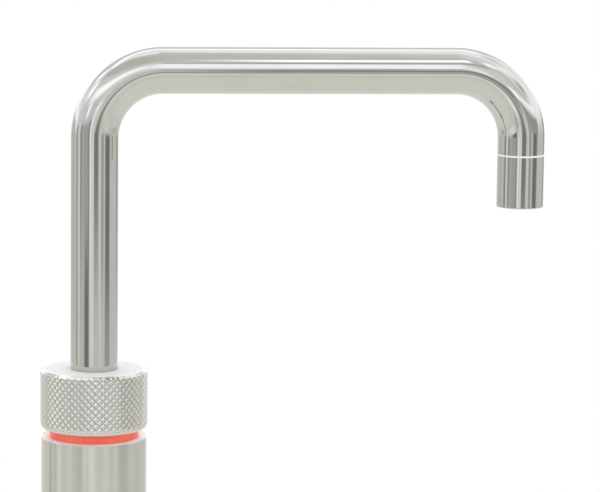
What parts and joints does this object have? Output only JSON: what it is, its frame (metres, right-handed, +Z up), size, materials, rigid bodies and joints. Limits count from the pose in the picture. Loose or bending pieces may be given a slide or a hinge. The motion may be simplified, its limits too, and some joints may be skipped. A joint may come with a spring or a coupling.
{
  "type": "boiling water tap",
  "caption": "Column kitchen tap for boiling water, with a knurled push-and-turn knob, a light ring and a square swan-neck spout that swivels.",
  "frame": {"origin": "where the column's axis meets the worktop's top face", "axes": "+Z up along the column and the swivel axis, +X along the spout at rest, +Y towards the back"},
  "size_m": [0.237, 0.052, 0.3947],
  "materials": {
    "polished_steel": "polished",
    "satin_steel": "fine satin",
    "knurled_steel": "bright, diamond knurl",
    "cap_steel": "polished",
    "light_ring": "translucent",
    "brass": "turned",
    "spring_steel": "bright",
    "rubber": "matte",
    "pale_plastic": "matte",
    "dark_plastic": "matte",
    "circuit_board": "satin"
  },
  "bodies": {
    "column": {"base_ring": "satin_steel", "base_gasket": "rubber", "body_shell": "satin_steel", "shell_seal": "rubber", "shell_grub_screw": "spring_steel", "column_core": "brass", "threaded_shank": "brass", "shank_plug": "dark_plastic", "lead_socket": "pale_plastic", "inlet_tube": "polished_steel", "swivel_socket": "brass", "rubber_washer": "rubber", "steel_washer": "spring_steel", "clamp_nut": "brass", "lower_bush": "pale_plastic", "upper_bush": "pale_plastic", "neck_clip": "spring_steel", "indicator_ring": "light_ring", "sensor_board": "circuit_board", "board_screws": "spring_steel", "indicator_leds": "pale_plastic", "sensor_lead": "dark_plastic", "return_spring": "spring_steel"},
    "slider": {"push_slider": "pale_plastic", "thrust_washer": "pale_plastic", "hub_clip": "spring_steel"},
    "knob": {"knob_grip": "knurled_steel", "knob_cap": "cap_steel", "knob_hub": "dark_plastic", "knob_magnets": "spring_steel", "knob_wiper": "pale_plastic"},
    "spout": {"spout_tube": "polished_steel", "spout_foot": "brass", "spigot_o_rings": "rubber", "spout_clip": "spring_steel", "spout_collar": "spring_steel", "inner_water_tube": "polished_steel", "centring_collars": "pale_plastic", "outlet_fitting": "brass", "seam_ring": "pale_plastic", "nozzle_sleeve": "polished_steel", "outlet_seal": "rubber", "flow_straightener": "pale_plastic", "outlet_mesh": "spring_steel", "mouth_ring": "polished_steel"}
  },
  "joints": [
    {"name": "spout_swivel", "type": "hinge", "parent": "column", "child": "spout", "pos_m": [0, 0, 0.1], "axis": [0, 0, 1], "range_deg": [-180, 180]},
    {"name": "knob_push", "type": "slide", "parent": "column", "child": "slider", "axis": [0, 0, -1], "range_m": [0, 0.003], "stiffness_N_per_m": 2000, "springref_m": -0.004, "deforming": ["return_spring"]},
    {"name": "knob_turn", "type": "hinge", "parent": "slider", "child": "knob", "pos_m": [0, 0, 0.12], "axis": [0, 0, 1], "range_deg": [0, 90]}
  ]
}
